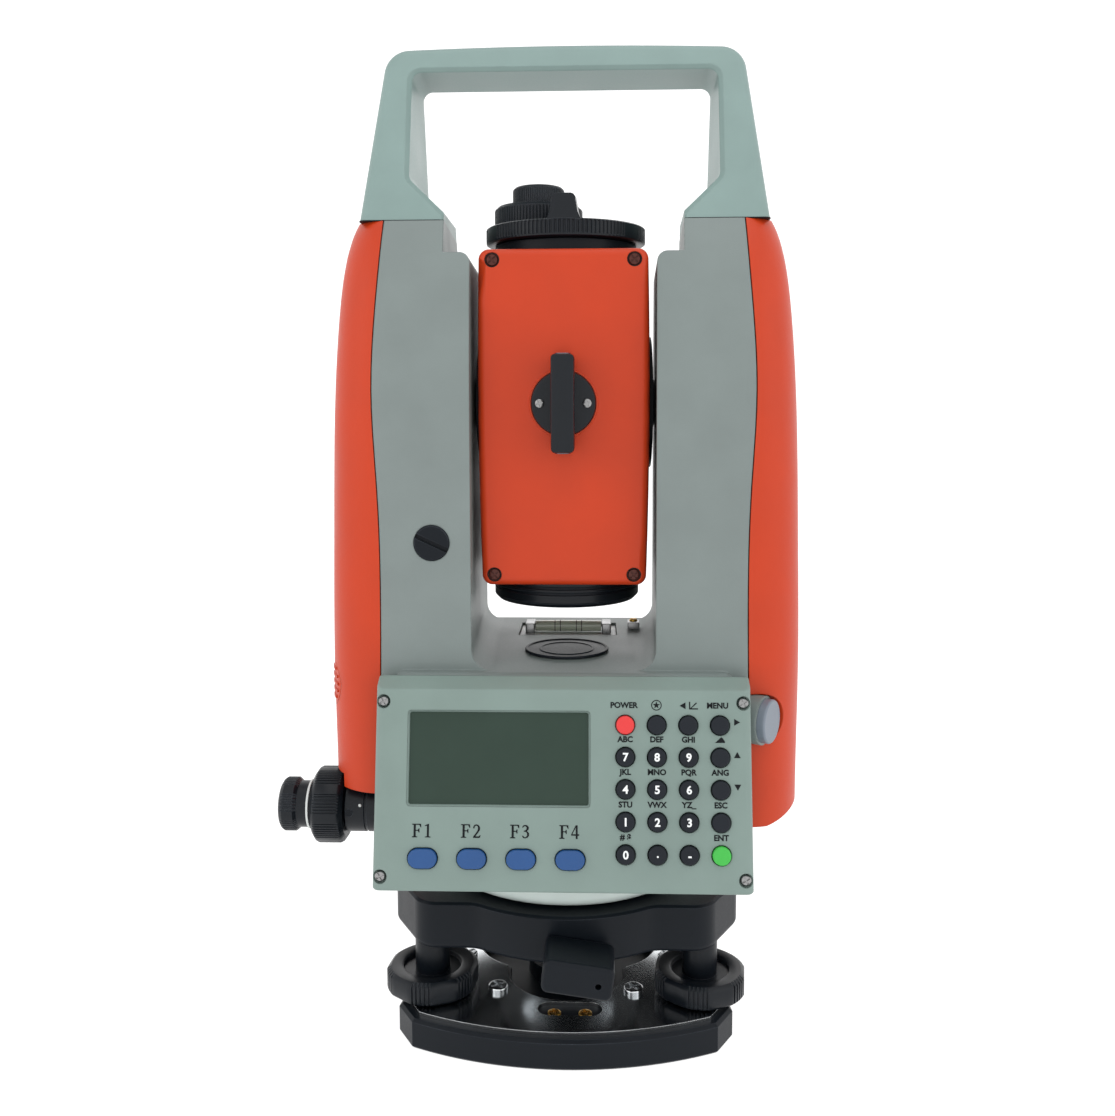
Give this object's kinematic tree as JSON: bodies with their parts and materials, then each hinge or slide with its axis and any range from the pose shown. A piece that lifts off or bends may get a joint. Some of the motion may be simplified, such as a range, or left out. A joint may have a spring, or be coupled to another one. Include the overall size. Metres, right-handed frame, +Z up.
{
  "type": "surveying total station",
  "caption": "Surveying total station: rotating yoke with tilting telescope, keyboard panel and carry handle, clamped on a levelling tribrach for a 5/8 inch tripod screw.",
  "frame": {"origin": "centre of the tripod socket on the underside of the base plate, on the standing axis", "axes": "+Z up along the standing axis, -Y out of the keyboard, +X to the right of somebody who faces the keyboard"},
  "size_m": [0.1737, 0.1384, 0.328],
  "materials": {
    "black_casting": "satin anodised black",
    "black_knob": "satin black",
    "steel": "bright",
    "brass": "turned",
    "glass": "polished",
    "light_grey_plastic": "fine texture",
    "grey_housing": "fine sand texture",
    "handle_grey": "fine sand texture",
    "orange_shell": "satin with a fine texture",
    "panel_grey": "satin",
    "display": "gloss",
    "cap_grey": "satin",
    "circuit_green": "solder mask",
    "key_blue": "satin",
    "key_red": "satin",
    "key_green": "satin",
    "key_black": "satin"
  },
  "bodies": {
    "root": {"base_plate": "black_casting", "spring_plate": "steel"},
    "foot_screw_left": {"foot_screw_left": "black_casting"},
    "foot_screw_right": {"foot_screw_right": "black_casting"},
    "foot_screw_rear": {"foot_screw_rear": "black_casting"},
    "thread_bushes": {"thread_bushes": "brass"},
    "tribrach": {"tribrach_body": "black_casting", "circular_level": "glass", "vertical_spindle": "steel"},
    "lock_ring": {"lock_ring": "steel"},
    "clamp_knob": {"clamp_knob": "black_casting"},
    "alidade": {"base_drum": "light_grey_plastic", "yoke_frame": "grey_housing", "left_cover": "orange_shell", "right_cover": "orange_shell", "carry_handle": "handle_grey", "front_panel": "panel_grey", "display_window": "display", "plate_level": "light_grey_plastic", "drive_barrels": "black_knob", "circuit_boards": "circuit_green", "alidade_screws": "steel"},
    "data_port_cap": {"data_port_cap": "cap_grey"},
    "horizontal_clamp_ring": {"horizontal_clamp_ring": "black_knob"},
    "horizontal_tangent_knob": {"horizontal_tangent_knob": "black_knob"},
    "vertical_clamp_ring": {"vertical_clamp_ring": "black_knob"},
    "vertical_tangent_knob": {"vertical_tangent_knob": "black_knob"},
    "battery_pack": {"battery_pack": "orange_shell"},
    "battery_latch": {"battery_latch": "orange_shell"},
    "telescope": {"telescope_frame": "black_casting", "telescope_covers": "orange_shell", "telescope_lenses": "glass", "collimator_sights": "black_casting", "trunnion_axles": "steel"},
    "focus_ring": {"focus_ring": "black_casting"},
    "diopter_ring": {"diopter_ring": "black_casting"},
    "key_f1": {"key_f1": "key_blue"},
    "key_f2": {"key_f2": "key_blue"},
    "key_f3": {"key_f3": "key_blue"},
    "key_f4": {"key_f4": "key_blue"},
    "key_power": {"key_power": "key_red"},
    "key_star": {"key_star": "key_black"},
    "key_angle": {"key_angle": "key_black"},
    "key_menu": {"key_menu": "key_black"},
    "key_7": {"key_7": "key_black"},
    "key_8": {"key_8": "key_black"},
    "key_9": {"key_9": "key_black"},
    "key_up": {"key_up": "key_black"},
    "key_4": {"key_4": "key_black"},
    "key_5": {"key_5": "key_black"},
    "key_6": {"key_6": "key_black"},
    "key_down": {"key_down": "key_black"},
    "key_1": {"key_1": "key_black"},
    "key_2": {"key_2": "key_black"},
    "key_3": {"key_3": "key_black"},
    "key_esc": {"key_esc": "key_black"},
    "key_0": {"key_0": "key_black"},
    "key_dot": {"key_dot": "key_black"},
    "key_minus": {"key_minus": "key_black"},
    "key_enter": {"key_enter": "key_green"}
  },
  "joints": [
    {"name": "level_cross", "type": "hinge", "parent": "root", "child": "thread_bushes", "pos_m": [0, -0.02625, 0.04], "axis": [0, 1, 0], "range_deg": [-2, 2]},
    {"name": "level_fore", "type": "hinge", "parent": "thread_bushes", "child": "tribrach", "pos_m": [0, -0.02625, 0.04], "axis": [1, 0, 0], "range_deg": [-2, 2]},
    {"name": "foot_screw_left_turn", "type": "hinge", "parent": "root", "child": "foot_screw_left", "pos_m": [-0.04547, -0.02625, 0.0196], "axis": [0, 0, 1], "range_deg": [-763.3, 763.3]},
    {"name": "foot_screw_right_turn", "type": "hinge", "parent": "root", "child": "foot_screw_right", "pos_m": [0.04547, -0.02625, 0.0196], "axis": [0, 0, 1], "range_deg": [-763.3, 763.3]},
    {"name": "foot_screw_rear_turn", "type": "hinge", "parent": "root", "child": "foot_screw_rear", "pos_m": [0, 0.0525, 0.0196], "axis": [0, 0, 1], "range_deg": [-1322.1, 1322.1]},
    {"name": "clamp_knob_turn", "type": "hinge", "parent": "tribrach", "child": "clamp_knob", "pos_m": [0.0048, -0.051, 0.0363], "axis": [0, -1, 0], "range_deg": [0, 180]},
    {"name": "lock_ring_turn", "type": "hinge", "parent": "tribrach", "child": "lock_ring", "pos_m": [0, 0, 0.04], "axis": [0, 0, 1], "range_deg": [0, 18]},
    {"name": "azimuth", "type": "hinge", "parent": "tribrach", "child": "alidade", "pos_m": [0, 0, 0.048], "axis": [0, 0, 1], "continuous": true},
    {"name": "trunnion", "type": "hinge", "parent": "alidade", "child": "telescope", "pos_m": [0, 0, 0.21], "axis": [1, 0, 0], "continuous": true},
    {"name": "focus_ring_turn", "type": "hinge", "parent": "telescope", "child": "focus_ring", "pos_m": [0, 0, 0.2636], "axis": [0, 0, 1], "range_deg": [-35, 210]},
    {"name": "diopter_ring_turn", "type": "hinge", "parent": "telescope", "child": "diopter_ring", "pos_m": [-0.0093, 0, 0.2768], "axis": [0, 0, 1], "range_deg": [-180, 180]},
    {"name": "horizontal_clamp_turn", "type": "hinge", "parent": "alidade", "child": "horizontal_clamp_ring", "pos_m": [-0.08, -0.025, 0.0745], "axis": [-1, 0, 0], "range_deg": [-90, 90]},
    {"name": "horizontal_tangent_turn", "type": "hinge", "parent": "alidade", "child": "horizontal_tangent_knob", "pos_m": [-0.09, -0.025, 0.0745], "axis": [-1, 0, 0], "range_deg": [-1800, 1800]},
    {"name": "vertical_clamp_turn", "type": "hinge", "parent": "alidade", "child": "vertical_clamp_ring", "pos_m": [-0.042, 0.056, 0.166], "axis": [0, 1, 0], "range_deg": [-90, 90]},
    {"name": "vertical_tangent_turn", "type": "hinge", "parent": "alidade", "child": "vertical_tangent_knob", "pos_m": [-0.042, 0.066, 0.166], "axis": [0, 1, 0], "range_deg": [-1800, 1800]},
    {"name": "battery_slide", "type": "slide", "parent": "alidade", "child": "battery_pack", "axis": [-1, 0, 0], "range_m": [0, 0.05]},
    {"name": "battery_latch_press", "type": "slide", "parent": "alidade", "child": "battery_latch", "axis": [1, 0, 0], "range_m": [0, 0.0015], "stiffness_N_per_m": 600},
    {"name": "data_port_cap_pull", "type": "slide", "parent": "alidade", "child": "data_port_cap", "axis": [0.866, -0.5, 0], "range_m": [0, 0.012]},
    {"name": "key_f1_press", "type": "slide", "parent": "alidade", "child": "key_f1", "axis": [0, 0.9781, -0.2079], "range_m": [0, 0.0008], "stiffness_N_per_m": 300},
    {"name": "key_f2_press", "type": "slide", "parent": "alidade", "child": "key_f2", "axis": [0, 0.9781, -0.2079], "range_m": [0, 0.0008], "stiffness_N_per_m": 300},
    {"name": "key_f3_press", "type": "slide", "parent": "alidade", "child": "key_f3", "axis": [0, 0.9781, -0.2079], "range_m": [0, 0.0008], "stiffness_N_per_m": 300},
    {"name": "key_f4_press", "type": "slide", "parent": "alidade", "child": "key_f4", "axis": [0, 0.9781, -0.2079], "range_m": [0, 0.0008], "stiffness_N_per_m": 300},
    {"name": "key_power_press", "type": "slide", "parent": "alidade", "child": "key_power", "axis": [0, 0.9781, -0.2079], "range_m": [0, 0.0008], "stiffness_N_per_m": 300},
    {"name": "key_star_press", "type": "slide", "parent": "alidade", "child": "key_star", "axis": [0, 0.9781, -0.2079], "range_m": [0, 0.0008], "stiffness_N_per_m": 300},
    {"name": "key_angle_press", "type": "slide", "parent": "alidade", "child": "key_angle", "axis": [0, 0.9781, -0.2079], "range_m": [0, 0.0008], "stiffness_N_per_m": 300},
    {"name": "key_menu_press", "type": "slide", "parent": "alidade", "child": "key_menu", "axis": [0, 0.9781, -0.2079], "range_m": [0, 0.0008], "stiffness_N_per_m": 300},
    {"name": "key_7_press", "type": "slide", "parent": "alidade", "child": "key_7", "axis": [0, 0.9781, -0.2079], "range_m": [0, 0.0008], "stiffness_N_per_m": 300},
    {"name": "key_8_press", "type": "slide", "parent": "alidade", "child": "key_8", "axis": [0, 0.9781, -0.2079], "range_m": [0, 0.0008], "stiffness_N_per_m": 300},
    {"name": "key_9_press", "type": "slide", "parent": "alidade", "child": "key_9", "axis": [0, 0.9781, -0.2079], "range_m": [0, 0.0008], "stiffness_N_per_m": 300},
    {"name": "key_up_press", "type": "slide", "parent": "alidade", "child": "key_up", "axis": [0, 0.9781, -0.2079], "range_m": [0, 0.0008], "stiffness_N_per_m": 300},
    {"name": "key_4_press", "type": "slide", "parent": "alidade", "child": "key_4", "axis": [0, 0.9781, -0.2079], "range_m": [0, 0.0008], "stiffness_N_per_m": 300},
    {"name": "key_5_press", "type": "slide", "parent": "alidade", "child": "key_5", "axis": [0, 0.9781, -0.2079], "range_m": [0, 0.0008], "stiffness_N_per_m": 300},
    {"name": "key_6_press", "type": "slide", "parent": "alidade", "child": "key_6", "axis": [0, 0.9781, -0.2079], "range_m": [0, 0.0008], "stiffness_N_per_m": 300},
    {"name": "key_down_press", "type": "slide", "parent": "alidade", "child": "key_down", "axis": [0, 0.9781, -0.2079], "range_m": [0, 0.0008], "stiffness_N_per_m": 300},
    {"name": "key_1_press", "type": "slide", "parent": "alidade", "child": "key_1", "axis": [0, 0.9781, -0.2079], "range_m": [0, 0.0008], "stiffness_N_per_m": 300},
    {"name": "key_2_press", "type": "slide", "parent": "alidade", "child": "key_2", "axis": [0, 0.9781, -0.2079], "range_m": [0, 0.0008], "stiffness_N_per_m": 300},
    {"name": "key_3_press", "type": "slide", "parent": "alidade", "child": "key_3", "axis": [0, 0.9781, -0.2079], "range_m": [0, 0.0008], "stiffness_N_per_m": 300},
    {"name": "key_esc_press", "type": "slide", "parent": "alidade", "child": "key_esc", "axis": [0, 0.9781, -0.2079], "range_m": [0, 0.0008], "stiffness_N_per_m": 300},
    {"name": "key_0_press", "type": "slide", "parent": "alidade", "child": "key_0", "axis": [0, 0.9781, -0.2079], "range_m": [0, 0.0008], "stiffness_N_per_m": 300},
    {"name": "key_dot_press", "type": "slide", "parent": "alidade", "child": "key_dot", "axis": [0, 0.9781, -0.2079], "range_m": [0, 0.0008], "stiffness_N_per_m": 300},
    {"name": "key_minus_press", "type": "slide", "parent": "alidade", "child": "key_minus", "axis": [0, 0.9781, -0.2079], "range_m": [0, 0.0008], "stiffness_N_per_m": 300},
    {"name": "key_enter_press", "type": "slide", "parent": "alidade", "child": "key_enter", "axis": [0, 0.9781, -0.2079], "range_m": [0, 0.0008], "stiffness_N_per_m": 300}
  ],
  "couplings": [
    {"joint": "foot_screw_left_turn", "follows": "level_cross", "ratio": 380.9},
    {"joint": "foot_screw_right_turn", "follows": "level_cross", "ratio": -380.9},
    {"joint": "foot_screw_rear_turn", "follows": "level_fore", "ratio": -659.73},
    {"joint": "lock_ring_turn", "follows": "clamp_knob_turn", "ratio": 0.1}
  ]
}
